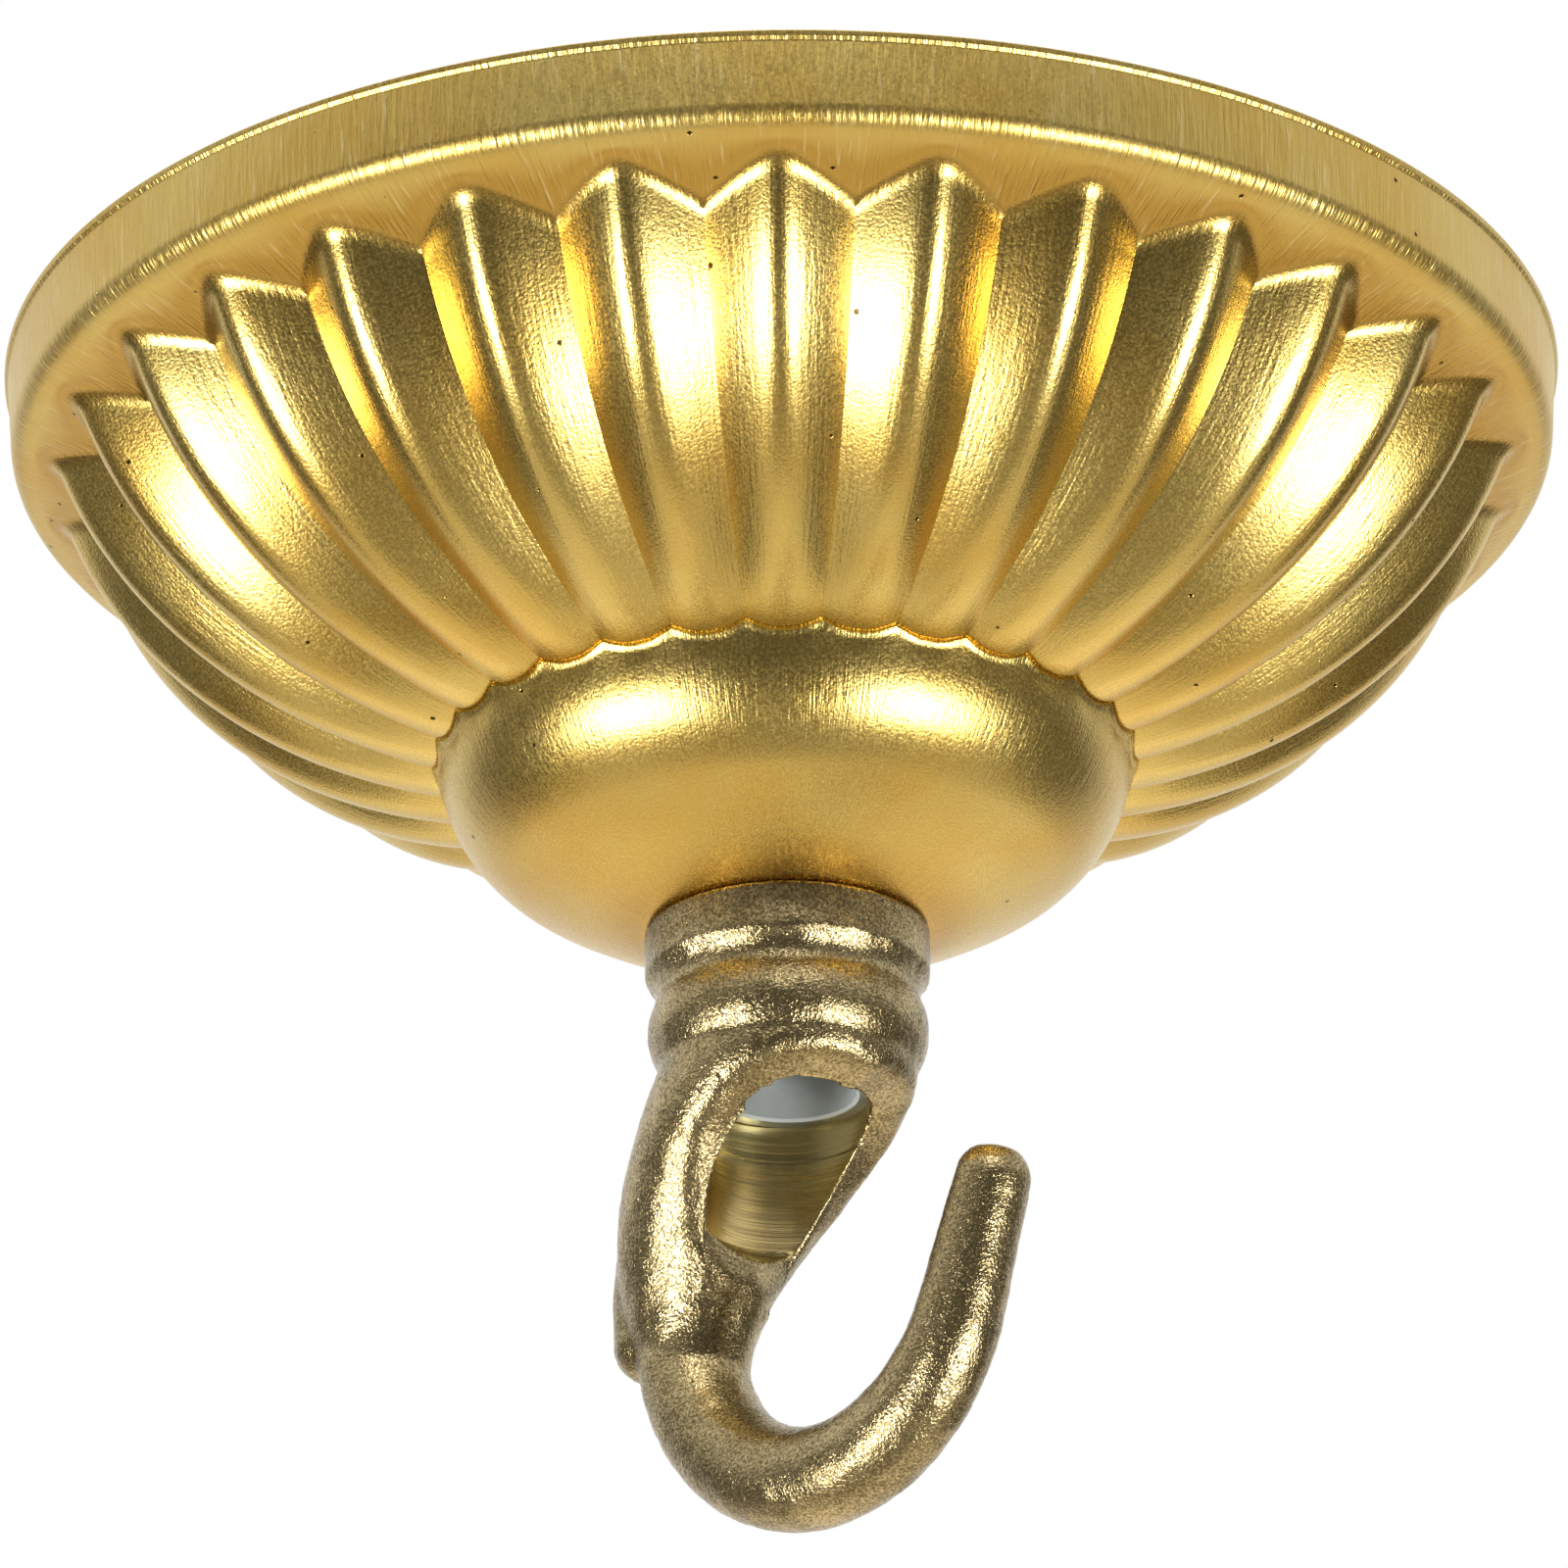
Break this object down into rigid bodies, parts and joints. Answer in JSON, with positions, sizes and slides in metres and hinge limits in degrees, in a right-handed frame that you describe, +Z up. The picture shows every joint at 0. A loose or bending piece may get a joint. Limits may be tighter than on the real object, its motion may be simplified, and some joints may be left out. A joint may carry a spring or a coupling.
{
  "type": "ceiling hook",
  "caption": "Fluted brass ceiling canopy with a cast open hook on a hollow threaded tube, and the hidden strap that fixes it, for hanging a lamp or a chain.",
  "frame": {"origin": "middle of the ceiling plane, between the strap's two screw slots", "axes": "+Z up into the ceiling, +X along the strap; the hook hangs towards -Z and its mouth opens between +X and -Y"},
  "size_m": [0.085, 0.085, 0.066],
  "materials": {
    "pressed_brass": "pressed sheet, satin",
    "cast_brass": "sand cast, tumbled",
    "zinc_steel": "zinc plated"
  },
  "bodies": {
    "root": {"canopy": "pressed_brass", "hook": "cast_brass", "threaded_tube": "zinc_steel", "canopy_washer": "zinc_steel", "canopy_nut": "zinc_steel", "ceiling_strap": "zinc_steel", "strap_nut_lower": "zinc_steel", "strap_nut_upper": "zinc_steel"}
  },
  "joints": []
}
